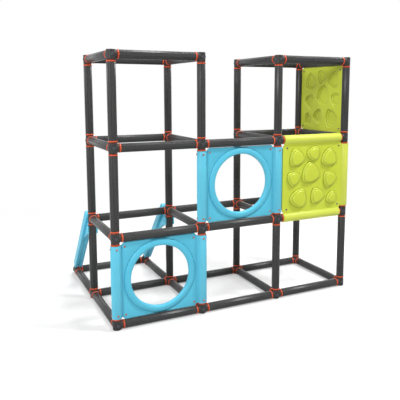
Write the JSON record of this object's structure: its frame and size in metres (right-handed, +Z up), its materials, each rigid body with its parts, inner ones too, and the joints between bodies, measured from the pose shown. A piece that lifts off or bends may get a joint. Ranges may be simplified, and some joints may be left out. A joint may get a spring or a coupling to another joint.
{
  "type": "toddler climbing gym",
  "caption": "Free-standing toddler climbing gym of charcoal tubes, grid connectors and orange locking rings, with crawl-through panels, climbing panels and a braced rear outrigger.",
  "frame": {"origin": "on the floor, below the middle of the gym's box", "axes": "+X to the right along the front, +Y from the front to the back, +Z up"},
  "size_m": [1.2504, 0.8449, 1.183],
  "materials": {
    "tube_charcoal": "extruded plastic, satin, faint lengthwise flats",
    "connector_grey": "moulded plastic, fine texture",
    "ring_orange": "moulded plastic, satin",
    "panel_blue": "rotationally moulded plastic, satin",
    "panel_green": "moulded plastic, satin",
    "screw_orange": "coated screw",
    "screw_grey": "coated screw",
    "brace_blue": "moulded plastic, satin"
  },
  "bodies": {
    "root": {"front_post_1": "tube_charcoal", "front_post_2": "tube_charcoal", "front_post_3": "tube_charcoal", "front_post_4": "tube_charcoal", "back_post_1": "tube_charcoal", "back_post_2": "tube_charcoal", "back_post_3": "tube_charcoal", "back_post_4": "tube_charcoal", "ground_beam_front": "tube_charcoal", "ground_beam_back": "tube_charcoal", "ground_beam_rear": "tube_charcoal", "lower_beam_front": "tube_charcoal", "lower_beam_back": "tube_charcoal", "upper_beam_front": "tube_charcoal", "upper_beam_back": "tube_charcoal", "top_beam_front": "tube_charcoal", "top_beam_back": "tube_charcoal", "ground_cross_tubes": "tube_charcoal", "lower_cross_tubes": "tube_charcoal", "upper_cross_tubes": "tube_charcoal", "top_cross_tubes": "tube_charcoal", "ground_connectors": "connector_grey", "brace_foot_connectors": "connector_grey", "lower_connectors": "connector_grey", "upper_connectors": "connector_grey", "top_connectors": "connector_grey", "post_rings": "ring_orange", "beam_rings": "ring_orange", "cross_rings": "ring_orange", "brace_rings": "ring_orange", "lower_crawl_panel": "panel_blue", "upper_crawl_panel": "panel_blue", "front_climbing_panel": "panel_green", "side_climbing_panel": "panel_green", "lower_crawl_screws": "screw_orange", "upper_crawl_screws": "screw_orange", "front_climbing_screws": "screw_grey", "side_climbing_screws": "screw_grey", "left_brace": "brace_blue", "right_brace": "brace_blue"}
  },
  "joints": []
}
